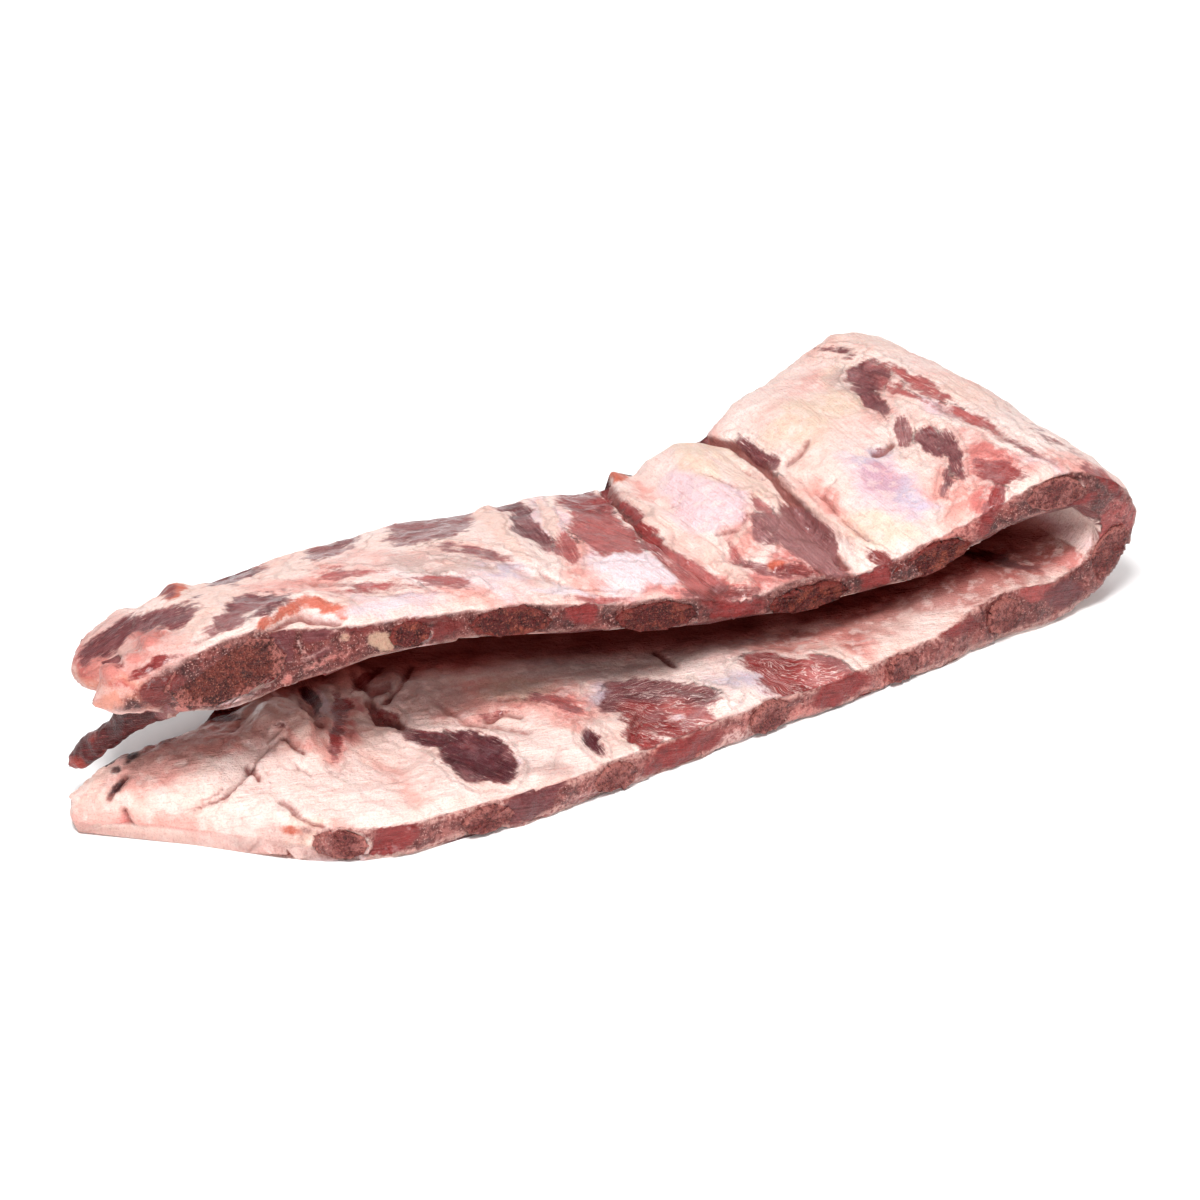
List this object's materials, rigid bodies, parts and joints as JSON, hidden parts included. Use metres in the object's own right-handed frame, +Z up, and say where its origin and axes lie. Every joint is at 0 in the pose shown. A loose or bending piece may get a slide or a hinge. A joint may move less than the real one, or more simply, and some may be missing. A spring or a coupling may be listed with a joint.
{
  "type": "raw iberian pork rib rack",
  "caption": "Raw strip of pork ribs with its meat and fat, sawn straight along both long sides and folded once so that one end lies over the other",
  "frame": {"origin": "On the table under the middle of the bounding box", "axes": "+X from the two free ends towards the fold, +Y from the front saw cut to the back saw cut, +Z up"},
  "size_m": [0.3134, 0.1238, 0.0592],
  "materials": {
    "meat": "moist raw fat and muscle, satin",
    "bone": "sawn spongy bone, matt"
  },
  "bodies": {
    "root": {"meat": "meat", "rib_01": "bone", "rib_02": "bone", "rib_03": "bone", "rib_04": "bone", "rib_05": "bone", "rib_06": "bone", "rib_07": "bone", "rib_08": "bone", "rib_09": "bone", "rib_10": "bone", "rib_11": "bone", "rib_12": "bone", "rib_13": "bone", "rib_14": "bone"}
  },
  "joints": []
}
